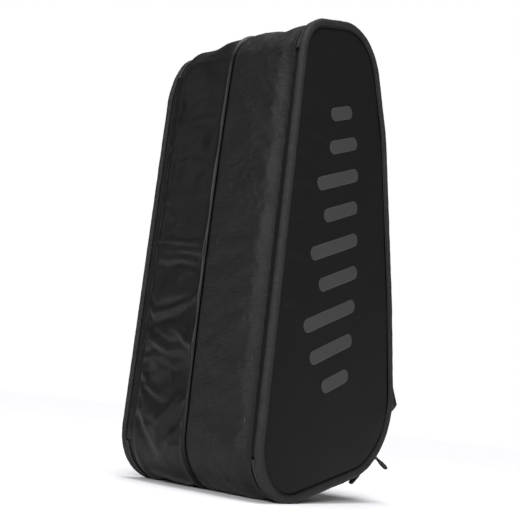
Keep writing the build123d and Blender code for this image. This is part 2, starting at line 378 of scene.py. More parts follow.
def tube(name, strip, path, ahead, radius, height, u, v, **ends):
    """A round cord along a path of (w, across) points that lies on a strip."""
    ahead = ahead / np.linalg.norm(ahead, axis=1, keepdims=True)
    sideways = np.stack([-ahead[:, 1], ahead[:, 0]], -1)
    w = path[:, :1] + sideways[:, :1] * radius * np.cos(AROUND_TUBE)
    across = path[:, 1:] + sideways[:, 1:] * radius * np.cos(AROUND_TUBE)
    return grid_piece(name, strip.points(w, across, height), u, v, close_v=True, **ends)


def rounded_end(rows, power):
    """1 along most of the rows, closing to a rounded end at both."""
    t = np.abs(2 * (rows - rows[0]) / (rows[-1] - rows[0]) - 1)
    return np.maximum(1 - t ** power, 0.0) ** (1 / power)


def end_rows(start, end, step, fine=10):
    """Rows along a strip, closer together towards its two ends."""
    middle = np.arange(start + 4 * step, end - 4 * step, step)
    tail = 4 * step * (np.linspace(0, 1, fine, endpoint=False) ** 2.2)
    return np.concatenate([start + tail + 0.02, middle, (end - tail - 0.02)[::-1]])


BRICK_FACES = ((0, 1, 2, 3), (4, 7, 6, 5), (0, 4, 5, 1), (1, 5, 6, 2), (2, 6, 7, 3), (3, 7, 4, 0))


def fused(name, strip, bricks, voxel, smoothing=3):
    """Moulded or cast part: overlapping tapered bricks melted into one skin. A brick is
    (w range, half widths at both ends, lift range, middle across)."""
    vertices, faces = [], []
    for ends, halves, (low, high), middle in bricks:
        first = len(vertices)
        for w, half in zip(ends, halves):
            for across, lift in ((-half, low), (half, low), (half, high), (-half, high)):
                vertices.append(strip.points(w, middle + across, lift))
        for quad in BRICK_FACES:
            faces.append(tuple(first + k for k in quad))
    piece = mesh_piece(name, vertices, faces)
    remesh = piece.modifiers.new("skin", "REMESH")
    remesh.mode = "VOXEL"
    remesh.voxel_size = voxel * MM
    remesh.use_smooth_shade = True
    smooth = piece.modifiers.new("soften", "SMOOTH")
    smooth.iterations = smoothing
    graph = bpy.context.evaluated_depsgraph_get()
    final = bpy.data.meshes.new_from_object(piece.evaluated_get(graph))
    piece.modifiers.clear()
    rough = piece.data
    piece.data = final
    bpy.data.meshes.remove(rough)
    return piece


STITCH_LENGTH, STITCH_GAP, THREAD_RADIUS = 3.4, 1.6, 0.42
THREAD_SIDES = 6
STITCH_SHARES = np.array([0, 0.18, 0.5, 0.82, 1])
STITCH_SIZES = (0.35, 0.85, 1.0, 0.85, 0.35)


def stitches(name, rows, body):
    """Thread laid in stitches along rows of points, in frame metres."""
    vertices, faces = [], []
    for row in rows:
        run = distances(row) / MM
        for start in np.arange(STITCH_GAP / 2, run[-1] - STITCH_LENGTH, STITCH_LENGTH + STITCH_GAP):
            shares = start + STITCH_LENGTH * STITCH_SHARES
            spine = np.stack([np.interp(shares, run, row[:, k]) for k in range(3)], -1)
            along = spine[-1] - spine[0]
            along /= np.linalg.norm(along)
            one = np.cross(along, (0.31, 0.52, 0.79))
            one /= np.linalg.norm(one)
            two = np.cross(along, one)
            first = len(vertices)
            for spot, size in zip(spine, STITCH_SIZES):
                for k in range(THREAD_SIDES):
                    a = 2 * math.pi * k / THREAD_SIDES
                    reach = THREAD_RADIUS * MM * size
                    vertices.append(spot + reach * (one * math.cos(a) + two * math.sin(a)))
            last = first + (len(STITCH_SIZES) - 1) * THREAD_SIDES
            for ring in range(first, last, THREAD_SIDES):
                for k in range(THREAD_SIDES):
                    a, b = ring + k, ring + (k + 1) % THREAD_SIDES
                    faces.append((a, b, b + THREAD_SIDES, a + THREAD_SIDES))
            for ring in (first, last):
                faces.append(tuple(ring + k for k in range(THREAD_SIDES)))
    return finish_piece(mesh_piece(name, vertices, faces), body, THREAD)


SETTLING_FRAMES = 12


def settle(grid, pinned, cap, slack):
    """Cloth simulation of a loop of cloth held along its seams. Points move by at most cap mm."""
    rows, columns = grid.shape[:2]
    piece = mesh_piece("settling", grid, [face for i, j, face in cells(rows, columns, True, False)])
    group = piece.vertex_groups.new(name="seams")
    held = np.flatnonzero(np.broadcast_to(pinned, (rows, columns)))
    group.add([int(k) for k in held], 1.0, "ADD")
    cloth = piece.modifiers.new("cloth", "CLOTH")
    cloth.settings.vertex_group_mass = "seams"
    cloth.settings.quality = 5
    cloth.settings.mass = 0.2
    cloth.settings.tension_stiffness = 18
    cloth.settings.compression_stiffness = 18
    cloth.settings.shear_stiffness = 8
    cloth.settings.bending_stiffness = 0.35
    cloth.settings.shrink_min = -slack
    cloth.settings.effector_weights.gravity = 0
    cloth.collision_settings.use_collision = False
    scene = bpy.context.scene
    for number in range(1, SETTLING_FRAMES + 1):
        scene.frame_set(number)
    moved = piece.evaluated_get(bpy.context.evaluated_depsgraph_get()).data
    points = np.empty(rows * columns * 3)
    moved.vertices.foreach_get("co", points)
    shift = points.reshape(grid.shape) - grid
    size = np.linalg.norm(shift, axis=-1, keepdims=True)
    shift *= np.minimum(1, np.reshape(cap, (rows, -1, 1)) * MM / np.maximum(size, 1e-9))
    unused = piece.data
    bpy.data.objects.remove(piece)
    bpy.data.meshes.remove(unused)
    scene.frame_set(1)
    return grid + shift


# ------------------------------------------------------------------ materials

class Nodes:
    """Short calls for building a material's node tree."""

    def __init__(self, name):
        self.material = bpy.data.materials.new(name)
        self.material.use_nodes = True
        self.tree = self.material.node_tree
        self.shader = self.tree.nodes["Principled BSDF"]

    def node(self, kind, inputs=None, **values):
        """A new node. inputs holds a value or an output to link for each socket."""
        made = self.tree.nodes.new(kind)
        for key, value in values.items():
            setattr(made, key, value)
        for key, value in (inputs or {}).items():
            self.feed(value, made.inputs[key])
        return made

    def feed(self, value, socket):
        if isinstance(value, (int, float, tuple)):
            socket.default_value = value
        else:
            self.tree.links.new(value, socket)

    def math(self, operation, a, b=0.0):
        return self.node("ShaderNodeMath", {0: a, 1: b}, operation=operation).outputs[0]

    def add(self, a, b):
        return self.math("ADD", a, b)

    def times(self, a, b):
        return self.math("MULTIPLY", a, b)

    def blend(self, a, b, share):
        """share of b added to the rest of a."""
        return self.add(self.times(a, 1 - share), self.times(b, share))

    def cloth_coordinates(self):
        """The piece's u and v as a vector in metres and as values in millimetres."""
        uv = self.node("ShaderNodeUVMap", uv_map="cloth").outputs[0]
        parts = self.node("ShaderNodeSeparateXYZ", {0: uv})
        return uv, self.times(parts.outputs[0], 1000.0), self.times(parts.outputs[1], 1000.0)

    def noise(self, vector, scale, detail=2.0, roughness=0.5):
        return self.node("ShaderNodeTexNoise", {"Vector": vector, "Scale": scale,
                                                "Detail": detail, "Roughness": roughness}).outputs[0]

    def wave(self, coordinate, pitch):
        """A sine of the coordinate, from 0 to 1."""
        turned = self.times(coordinate, 2 * math.pi / pitch)
        return self.add(self.times(self.math("SINE", turned), 0.5), 0.5)

    def mix(self, factor, low, high):
        made = self.node("ShaderNodeMix", data_type="RGBA")
        for socket, value in ((0, factor), (6, low), (7, high)):
            self.feed(value, made.inputs[socket])
        return made.outputs[2]

    def spread(self, value, low, high):
        """Maps 0..1 to low..high."""
        return self.node("ShaderNodeMapRange", {"Value": value, "To Min": low,
                                                "To Max": high}).outputs[0]

    def bump(self, height, distance, strength=1.0, normal=None):
        inputs = {"Strength": strength, "Distance": distance * MM, "Height": height}
        if normal is not None:
            inputs["Normal"] = normal
        return self.node("ShaderNodeBump", inputs).outputs[0]

    def finish(self, color, roughness, normal=None, **sockets):
        self.feed(color, self.shader.inputs["Base Color"])
        self.feed(roughness, self.shader.inputs["Roughness"])
        if normal is not None:
            self.feed(normal, self.shader.inputs["Normal"])
        for key, value in sockets.items():
            self.shader.inputs[key.replace("_", " ")].default_value = value
        return self.material


def grey(value):
    """A faintly bluish grey."""
    return (value, value, value * 1.03, 1.0)


def woven(name, dark, light, pitch, rough, relief_mm, twill=True, sheen=0.0, specular=0.4,
          slubs=0.3):
    """Cloth with crossing yarns. pitch is the yarn spacing in millimetres, and slubs is the
    share of uneven, thick and thin yarn in its look."""
    n = Nodes(name)
    uv, u, v = n.cloth_coordinates()
    wobble = n.times(n.noise(uv, 130.0, 3.0), pitch * 0.9)
    if twill:
        across = n.wave(n.add(n.add(u, v), wobble), pitch * 1.5)
        along = n.wave(n.add(n.math("SUBTRACT", u, v), wobble), pitch * 0.75)
        lean = 0.6
    else:
        across = n.wave(n.add(u, wobble), pitch)
        along = n.wave(n.add(v, wobble), pitch)
        lean = 0.0
    weave = n.blend(across, along, 0.4)
    fuzz = n.noise(uv, 900.0, 3.0, 0.65)
    turned = n.node("ShaderNodeMapping", {"Vector": uv, "Rotation": (0, 0, lean),
                                          "Scale": (1.0, 0.28, 1.0)}).outputs[0]
    thick_yarn = n.spread(n.noise(turned, 230.0, 4.0, 0.75), -0.9, 1.9)
    broad = n.noise(uv, 22.0, 4.0, 0.6)
    rib = n.blend(n.blend(weave, fuzz, 0.4), thick_yarn, slubs)
    tone = n.blend(rib, broad, 0.25)
    color = n.mix(n.spread(tone, -0.3, 1.3), grey(dark), grey(light))
    return n.finish(color, n.spread(broad, rough - 0.08, rough + 0.08), n.bump(rib, relief_mm),
                    Specular_IOR_Level=specular, Sheen_Weight=sheen, Sheen_Roughness=0.4)


def satin(name, dark, light, rough, specular):
    """Tightly woven smooth nylon: fine yarn lines and a broken sheen."""
    n = Nodes(name)
    uv, u, v = n.cloth_coordinates()
    lines = n.wave(n.add(u, n.times(n.noise(uv, 300.0), 0.8)), 0.7)
    yarn = n.blend(lines, n.wave(v, 0.9), 0.5)
    patches = n.noise(uv, 30.0, 5.0, 0.6)
    creases = n.noise(uv, 95.0, 4.0, 0.55)
    color = n.mix(n.blend(yarn, patches, 0.65), grey(dark), grey(light))
    normal = n.bump(yarn, 0.05, 0.6, n.bump(creases, 0.35, 0.5))
    return n.finish(color, n.spread(patches, rough - 0.07, rough + 0.07), normal,
                    Specular_IOR_Level=specular)


def moulded(name, color, rough, grain_mm=0.03, grain=1500.0, metallic=0.0, specular=0.5):
    """Plastic, rubber or plated metal with a fine grain and handling marks."""
    n = Nodes(name)
    position = n.node("ShaderNodeTexCoord").outputs["Object"]
    marks = n.noise(position, 160.0, 4.0, 0.65)
    fine = n.noise(position, grain, 2.0)
    shade = n.mix(marks, grey(color * 0.75), grey(color * 1.25))
    return n.finish(shade, n.spread(marks, rough - 0.1, rough + 0.1), n.bump(fine, grain_mm),
                    Metallic=metallic, Specular_IOR_Level=specular)


def crinkled_foil(name):
    """Aluminised film: bright metal with sharp random creases."""
    n = Nodes(name)
    uv = n.cloth_coordinates()[0]
    edges = n.node("ShaderNodeTexVoronoi", {"Vector": uv, "Scale": 60.0},
                   feature="DISTANCE_TO_EDGE")
    creases = n.math("MINIMUM", edges.outputs["Distance"], 0.25)
    stretch = n.noise(uv, 45.0, 4.0, 0.6)
    height = n.add(n.times(creases, 3.0), stretch)
    color = n.mix(stretch, grey(0.5), grey(0.64))
    return n.finish(color, n.spread(stretch, 0.3, 0.45), n.bump(height, 0.4), Metallic=0.8)


TWILL = woven("twill", 0.0002, 0.0043, 1.6, 0.46, 1.0, specular=0.29, slubs=0.65)
SATIN_NYLON = satin("satin_nylon", 0.0018, 0.0031, 0.42, 0.23)
PANEL_FABRIC = satin("panel_fabric", 0.0062, 0.0082, 0.55, 0.1)
WELT_FABRIC = woven("welt_fabric", 0.002, 0.038, 1.0, 0.55, 0.6, twill=False, specular=0.14)
HINGE_FABRIC = woven("hinge_fabric", 0.003, 0.008, 0.8, 0.75, 0.1, twill=False, specular=0.12)
PIPING_SKIN = satin("piping", 0.003, 0.006, 0.5, 0.25)
ZIP_TAPE = woven("zip_tape", 0.006, 0.018, 0.7, 0.8, 0.1, twill=False, specular=0.2)
COIL = moulded("zip_coil", 0.01, 0.38)
SLIDER_METAL = moulded("slider_metal", 0.2, 0.26, grain_mm=0.012, metallic=1.0)
CORD_SKIN = woven("pull_cord", 0.005, 0.02, 0.6, 0.75, 0.12, specular=0.25)
GRIP_RUBBER = moulded("pull_grip", 0.007, 0.55, specular=0.3)
EMBLEM_FILM = satin("emblem_film", 0.036, 0.046, 0.5, 0.2)
THREAD = moulded("thread", 0.02, 0.6, grain=3000.0, specular=0.3)
DIVIDER_CLOTH = woven("divider_foam", 0.012, 0.03, 1.2, 0.8, 0.12, twill=False, specular=0.2)
BINDING_TAPE = woven("binding", 0.006, 0.02, 0.8, 0.7, 0.15, twill=False, specular=0.25)
LINING_CLOTH = woven("lining", 0.02, 0.045, 0.8, 0.6, 0.08, twill=False, specular=0.35)
FOIL = crinkled_foil("thermal_foil")
BOARD = moulded("base_board", 0.03, 0.5, grain=700.0)
ANCHOR_CLOTH = woven("anchor_patch", 0.006, 0.026, 1.2, 0.6, 0.25, specular=0.3)
WEBBING = woven("webbing", 0.006, 0.032, 1.7, 0.55, 0.45, specular=0.35)
GRIP_CLOTH = woven("handle_grip", 0.006, 0.028, 1.4, 0.62, 0.3, sheen=0.05, specular=0.25)
PAD_CLOTH = woven("strap_pad", 0.006, 0.028, 1.5, 0.64, 0.3, sheen=0.05, specular=0.25)
BUCKLE_PLASTIC = moulded("buckle", 0.012, 0.36, specular=0.5)


# ------------------------------------------------------------------ gussets

# Pulls in the far gusset's satin on the base side: (y, z) points, width and height.
FAR_FOLDS = (
    ([(119, 378), (71, 373), (6, 364)], 3.4, 1.9),
    ([(118, 370), (72, 365), (4, 357)], 3.4, -1.7),
    ([(60, 359), (30, 354), (4, 349)], 3.0, 1.6),
    ([(98, 352), (50, 350), (6, 343)], 3.6, -1.5),
    ([(92, 345), (50, 343), (5, 335)], 3.6, 1.7),
    ([(97, 334), (55, 334), (4, 327)], 4.2, -1.8),
    ([(90, 324), (50, 326), (5, 319)], 4.0, 1.5),
    ([(124, 292), (98, 268), (60, 274), (24, 285), (4, 300)], 4.6, -2.2),
    ([(126, 281), (99, 257), (62, 264), (20, 275), (4, 289)], 4.6, 2.6),
    ([(125, 268), (98, 244), (60, 250), (20, 262)], 5.0, -1.6),
    ([(120, 250), (96, 228), (56, 212), (16, 214)], 6.0, -2.2),
    ([(118, 238), (94, 216), (56, 200), (16, 203)], 6.0, 1.8),
    ([(8, 206), (40, 232), (78, 248)], 5.0, 1.6),
    ([(12, 150), (38, 114), (72, 78)], 7.0, 2.6),
    ([(4, 126), (30, 92), (58, 58)], 6.0, -2.2),
    ([(6, 100), (28, 74), (44, 44)], 5.0, 1.6),
    ([(112, 176), (98, 146), (66, 132)], 6.0, 2.0),
    ([(114, 164), (96, 134), (66, 120)], 6.0, -1.8),
    ([(112, 108), (90, 72), (62, 36)], 7.0, -2.0),
    ([(104, 112), (84, 80), (56, 48)], 6.0, 1.6),
    ([(30, 560), (70, 500), (96, 430)], 12.0, 1.2),
    ([(110, 470), (84, 430), (70, 396)], 9.0, 1.0),
)


def base_share(run):
    """1 on the base side, falling to 0 where the profile turns away from it."""
    return step_up(-at(run)[2], 0.3, 0.95)


def gusset_lift(side):
    def lift(run, depth):
        x, z, nx, nz = at(run)
        y = side * depth
        base = base_share(run)
        top = step_up(nz, 0.25, 0.85)
        strip = base * step_up(z, 40, 66) * (1 - step_up(z, 655, 672))
        middle = np.sin(np.pi * np.clip((z - 25) / 660, 0, 1)) ** 0.7
        total = 7.5 * base * middle * (1 - (depth / 114) ** (3.2 if side == NEAR else 2.2))
        total += 1.6 * (1 - (2 * depth / GUSSET_EDGE - 1) ** 2) * (1 - top) * (1 - base)
        total += droop(run, y)
        free = step_up(depth, 3, 24) * (1 - step_up(depth, 98, 112))
        total += free * (0.9 * relief(run, y, 85, 3) + 0.4 * relief(run, y, 34, 4))
        if side == NEAR:
            total -= (2.6 + 3.4 * strip) * step_up(depth, 97, 117)
            total -= 4.5 * np.exp(-(depth / 2.6) ** 2)
            total += 0.3 * free * relief(run, y, 13, 5)
        else:
            slack = base * (1 - step_up(z, 330, 420))
            total += 2.0 * np.exp(-((depth - 108) / 9) ** 2) - 2.0 * step_up(depth, 111, 121)
            total += 2.0 * np.exp(-((depth - 4.5) / 4.2) ** 2) - 2.0 * np.exp(-(depth / 1.4) ** 2)
            total += free * (0.12 + 0.12 * slack) * relief(run * 1.6, y * 0.7, 26, 6)
            total += 0.12 * free * slack * relief(run + y, y - run * 0.5, 14, 7)
            for path, width, height in FAR_FOLDS:
                total += base * fold(y, z, path, width, height)
        return total
    return lift


def make_gusset(side, material):
    name = SIDE_NAMES[side]
    depths = np.concatenate([[0.15, 0.6, 1.4, 2.6], np.arange(4.5, 120, 3.2), [120, 121.2, 121.8]])
    count = int(LENGTH / 4)
    run = np.arange(count) * LENGTH / count
    runs, across = np.meshgrid(run, depths, indexing="ij")
    x, z, nx, nz = at(runs)
    outside = lifted(runs, side * across, gusset_lift(side)(runs, across))
    seams = (depths < 4) | (depths > 112)
    if side == NEAR:
        cap, slack = 0.7 + 0 * x, 0.006
    else:
        cap, slack = 0.9 + 2.6 * step_up(420 - z, 0, 120), 0.018
    outside = settle(outside, seams[None, :], cap, slack)
    outside[..., 2] = np.maximum(outside[..., 2], FLOOR_Z * MM)
    inward = np.stack([nx, np.zeros_like(nx), nz], -1) * SHELL * MM
    grid = np.concatenate([outside, (outside - inward)[:, ::-1]], 1)
    around = np.concatenate([depths, 250 - depths[::-1]])
    piece = grid_piece(name + "_gusset_cloth", grid, run, around, close_u=True, close_v=True)
    return finish_piece(piece, "bag", material, [name + "_gusset"])


make_gusset(NEAR, TWILL)
make_gusset(FAR, SATIN_NYLON)


# ------------------------------------------------------------------ hinge strips, zips

COIL_PITCH = 1.9


def make_zip_half(name, side, body, edge, step, span):
    """One coil of a zip, without the tape it is sewn to. edge is the depth of the coil's free edge,
    and step is the direction in which the half lies from there."""
    coil = [(edge, -0.9), (edge + step * 0.5, -0.25), (edge + step * 1.4, -0.05),
            (edge + step * 2.4, -0.3), (edge + step * 2.8, -1.0), (edge + step * 2.3, -1.9),
            (edge + step * 1.2, -2.1), (edge + step * 0.3, -1.7)]
    phase = 0.0 if body == "bag" else math.pi

    def teeth(run, depth):
        return 0.42 * np.cos(2 * math.pi * run / COIL_PITCH + phase)

    return sweep(f"{name}_zip_coil_{body}", side, coil, span=span, lift=teeth,
                 step=COIL_PITCH / 4)


def make_edges(side):
    name = SIDE_NAMES[side]
    door = name + "_door"
    low, high = run_at(0, ZIP_LOW_END), run_at(0, ZIP_HIGH_END)
    if side == NEAR:
        face = [(119.5, -7.2), (122.5, -6.6), (127, -5.4), (131.2, -4.8), (134.6, -5.0)]
    else:
        face = [(119.5, -2.6), (122.5, -1.4), (127, -1.0), (131.2, -1.4), (134.6, -3.2)]
    strip = smooth_loop(face + [(depth, height - 0.9) for depth, height in reversed(face)], 34)
    piece = sweep(name + "_hinge_strip_cloth", side, strip, span=(high, low),
                  lift=lambda run, depth: 0.25 * relief(run, depth, 16, 11))
    finish_piece(piece, None, HINGE_FABRIC if side == NEAR else SATIN_NYLON,
                 [name + "_hinge_strip", name + "_zip_end_tabs"])
    middle = (ZIP_LOW_END + ZIP_HIGH_END) / 2
    tuple(place(2.0, side * 130.2, middle))
    tuple(place(2.0, side * 134.0, middle))
    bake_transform(piece)

    tape = [(113, -4.2), (121, -5.6), (125.5, -2.9), (130.2, -2.3), (130.2, -3.0), (126, -3.6),
            (121, -6.3), (113, -5)]
    piece = sweep(name + "_zip_tape_body_cloth", side, tape, span=(low, high))
    finish_piece(piece, "bag", ZIP_TAPE, [name + "_zip_tape_body"])
    piece = make_zip_half(name, side, "bag", 130.6, -1, (low, high))
    finish_piece(piece, "bag", COIL, [name + "_zip_coil_body"])

    tape = [(131.8, -2.3), (139, -2.4), (139, -3.2), (131.8, -3.0)]
    piece = sweep(name + "_zip_tape_door_cloth", side, tape, span=(low, high))
    finish_piece(piece, door, ZIP_TAPE, [name + "_zip_tape_door"])
    piece = make_zip_half(name, side, "door", 131.4, 1, (low, high))
    finish_piece(piece, door, COIL, [name + "_zip_coil_door"])


for side in (NEAR, FAR):
    make_edges(side)


# ------------------------------------------------------------------ doors

PANEL_FACE = 140.2
WELT_LOOP = [(133.2, -3.0), (133.0, -1.0), (134.0, 0.6), (136.4, 1.4), (139.2, 1.3),
             (141.6, 0.2), (143.2, -2.2), (143.8, -5.0), (143.4, -7.8), (142.0, -9.8),
             (139.6, -9.8), (138.0, -5.0), (136.0, -3.2)]
PUCKERS = (
    # height, and how far in from the base it reaches
    (596, 86), (572, 58), (541, 96), (505, 64), (462, 80), (410, 52), (352, 70), (280, 60),
)
SPINE = ((165.0, 170.0), (112.0, 640.0))
EMBLEM_BARS = (
    # place along the column, length, shift along the bar
    (0.00, 70.0, 14.0),
    (0.125, 112.0, 0.0),
    (0.25, 136.0, -8.0),
    (0.375, 104.0, 10.0),
    (0.50, 126.0, -4.0),
    (0.625, 92.0, 8.0),
    (0.75, 112.0, -4.0),
    (0.875, 76.0, 6.0),
    (1.00, 58.0, -4.0),
)
EMBLEM_LOW, EMBLEM_HIGH = (146.0, 176.0), (112.0, 596.0)
EMBLEM_SLANT = 24.0
EMBLEM_WIDTH = 21.0


def welt_lift(run, depth):
    return 0.2 * relief(run, depth, 26, 21) + 0.16 * relief(run, depth * 0.2, 5, 22)


def panel_front(x, z):
    """Depth of the padded panel's outer face."""
    inset = inset_at(x, z)
    swell = 4.2 * (1 - np.exp(-(inset - PIPING_INSET) / 34))
    pucker = 0.0
    for height, reach in PUCKERS:
        crest = [(12, height), (34, height + 3), (reach, height + 1)]
        valley = [(12, height - 9), (32, height - 7), (reach - 12, height - 8)]
        pucker = pucker + fold(x, z, crest, 4.5, 0.9) + fold(x, z, valley, 4.0, -0.8)
    return PANEL_FACE - 2.6 * np.exp(-(inset - PIPING_INSET) / 2.6) + swell + pucker \
        + 0.35 * relief(x, z, 95, 31)


def panel_grid(side, shares, inset):
    """Points from a spine in the panel's middle out to its rim. The carrying side and the base
    side have as many rows each, so that their rows meet on the spine."""
    half = 210
    low, high = run_at(150, 0), run_at(110, 750)
    run = np.concatenate([np.linspace(low, high, half, endpoint=False),
                          np.linspace(high, low + LENGTH, half, endpoint=False)])
    t = np.arange(half) / half
    t = np.concatenate([t, 1 - t])
    x, z, nx, nz = at(run)
    inset = inset - droop(run, side * HALF_DEPTH)
    x, z = x - nx * inset, z - nz * inset
    (x0, z0), (x1, z1) = SPINE
    spine_x, spine_z = x0 + (x1 - x0) * t, z0 + (z1 - z0) * t
    shares = np.array(shares)[None, :]
    return run, spine_x[:, None] + (x - spine_x)[:, None] * shares, \
        spine_z[:, None] + (z - spine_z)[:, None] * shares


def flat_piece(name, side, inset, front_of, back_of, shares):
    """A sheet or pad of the panel's outline between two faces."""
    run, x, z = panel_grid(side, shares, inset)
    front, back = front_of(x, z), back_of(x, z)
    grid = np.concatenate([place(x, side * front, z), place(x, side * back, z)[:, ::-1]], 1)
    piece = grid_piece(name, grid, run, np.arange(grid.shape[1]) * 4.0, close_u=True, merge=1e-6)
    layer = piece.data.uv_layers["cloth"]
    for loop in piece.data.loops:
        point = piece.data.vertices[loop.vertex_index].co
        layer.data[loop.index].uv = (point.x, point.z)
    return piece


def make_emblem(side):
    """A printed column of slanted bars with rounded ends."""
    name = SIDE_NAMES[side]
    low, high = np.array(EMBLEM_LOW), np.array(EMBLEM_HIGH)
    slant = math.radians(EMBLEM_SLANT)
    along = np.array([math.cos(slant), math.sin(slant)])
    across = np.array([-along[1], along[0]])
    for number, (share, length, shift) in enumerate(EMBLEM_BARS):
        middle = low + (high - low) * share + along * shift
        t = np.linspace(-1, 1, 61)
        t = np.sign(t) * (1 - (1 - np.abs(t)) ** 1.5)
        reach = length / 2
        half = EMBLEM_WIDTH / 2
        overrun = np.clip((np.abs(t) * reach - (reach - half)) / half, 0, 1)
        width = half * np.sqrt(np.maximum(1 - overrun ** 2, 0.0004))
        s = np.linspace(-1, 1, 11)
        u = (t * reach)[:, None] + 0 * s[None, :]
        v = width[:, None] * s[None, :]
        x = middle[0] + along[0] * u + across[0] * v
        z = middle[1] + along[1] * u + across[1] * v
        depth = panel_front(x, z)
        skin = np.concatenate([place(x, side * (depth + 0.25), z),
                               place(x, side * (depth - 0.4), z)[:, ::-1]], 1)
        piece = grid_piece(f"{name}_emblem_bar_{number}", skin, t * reach, np.arange(22) * 1.5,
                           close_v=True, cap_u=True)
        finish_piece(piece, name + "_door", EMBLEM_FILM)


def make_door(side):
    name = SIDE_NAMES[side]
    body = name + "_door"
    piece = sweep(name + "_welt_cloth", side, smooth_loop(WELT_LOOP, 44), lift=welt_lift, step=2.5)
    finish_piece(piece, body, WELT_FABRIC, [name + "_welt"])

    round_cord = [(140.4 + 1.5 * math.cos(a), -PIPING_INSET + 1.5 * math.sin(a))
                  for a in np.linspace(0, 2 * math.pi, 14, endpoint=False)]
    piece = sweep(name + "_piping_cord", side, round_cord, step=3.0)
    finish_piece(piece, body, PIPING_SKIN, [name + "_piping"])

    shares = np.concatenate([np.linspace(0, 0.8, 30),
                             1 - 0.2 * np.linspace(1, 0, 26)[1:] ** 1.6])
    piece = flat_piece(name + "_side_panel_pad", side, PIPING_INSET + 0.6, panel_front,
                       lambda x, z: 135.2 + 0 * x, shares)
    finish_piece(piece, body, PANEL_FABRIC, [name + "_side_panel"])

    shares = np.linspace(0, 1, 40)
    piece = flat_piece(name + "_panel_lining_cloth", side, 5.0, lambda x, z: 134.9 + 0 * x,
                       lambda x, z: 133.6 + 0.5 * relief(x, z, 60, 41), shares)
    finish_piece(piece, body, LINING_CLOTH, [name + "_panel_lining"])
    make_emblem(side)


for side in (NEAR, FAR):
    make_door(side)


# ------------------------------------------------------------------ inside

def make_inside():
    shares = np.linspace(0, 1, 44)
    piece = flat_piece("divider_pad", NEAR, 6.0, lambda x, z: 2.0 + 0.35 * relief(x, z, 70, 51),
                       lambda x, z: -2.0 + 0.35 * relief(x, z, 70, 52), shares)
    finish_piece(piece, "bag", DIVIDER_CLOTH, ["divider_panel"])
    tape = [(-9.8, -2.5), (9.8, -2.5), (9.8, -3.3), (3.4, -3.6), (2.6, -9.0), (-2.6, -9.0),
            (-3.4, -3.6), (-9.8, -3.3)]
    piece = sweep("divider_binding_tape", NEAR, tape)
    finish_piece(piece, "bag", BINDING_TAPE, ["divider_binding"])
    for side, material, slot, node, seed in ((NEAR, LINING_CLOTH, "lining", "near_lining", 61),
                                             (FAR, FOIL, "thermal_foil", "far_thermal_lining", 62)):
        inner = [(d, -2.95) for d in np.arange(10.2, 113, 4.0)] + [(112.6, -2.95)]
        outer = [(d, -2.3) for d, h in reversed(inner)]
        gusset = gusset_lift(side)

        def hang(run, depth, side=side, seed=seed, gusset=gusset):
            """Flat behind the base board, loose elsewhere, and never outside the gusset."""
            slack = 1.1 * relief(run, depth, 46, seed) + 0.5 * relief(run, depth, 19, seed + 9)
            loose = (1 - base_share(run)) * np.sin(np.pi * (depth - 10) / 103)
            under = gusset(run, depth) - droop(run, side * depth)
            return np.minimum(np.minimum(slack - 1.2, 0) * loose, under - 0.6)

        piece = sweep(node + "_cloth", side, inner + outer, lift=hang, step=6.0)
        finish_piece(piece, "bag", material, [node])


make_inside()


# ------------------------------------------------------------------ sliders and pulls

ARC_X, ARC_Z, ARC_RADIUS = 206.413, 162.533, 128.0
SLIDERS = (
    # name, place on the corner's arc, direction of the pull, both in degrees
    ("upper", -41.0, -26.0),
    ("lower", -53.0, -145.0),
)
PIVOT_HEIGHT = 3.4
CORD_REACH = 18.0
GRIP_REACH = 48.0


def make_slider(side, name, angle):
    out = direction(math.radians(angle))
    along = np.array([-out[2], 0, out[0]])
    middle = np.array([ARC_X, -ZIP_DEPTH, ARC_Z]) + ARC_RADIUS * out
    strip = Strip(middle - 8 * along, middle + 8 * along, out, side=side)
    bricks = [
        ((1.0, 9.5), (3.3, 4.3), (0.5, 2.0), 0),
        ((9.0, 15.6), (4.3, 3.0), (0.5, 2.0), 0),
        ((4.0, 12.0), (0.45, 0.45), (-3.6, 0.8), 0),
        ((1.5, 14.5), (2.8, 2.8), (-4.2, -3.4), 0),
        ((2.6, 4.4), (1.1, 1.1), (1.5, 6.0), 0),
        ((11.6, 13.4), (1.1, 1.1), (1.5, 6.0), 0),
        ((2.6, 13.4), (1.1, 1.1), (4.7, 6.0), 0),
    ]
    node = f"{SIDE_NAMES[side]}_{name}_slider"
    piece = fused(node + "_cast", strip, bricks, 0.32)
    finish_piece(piece, node, SLIDER_METAL, [node])


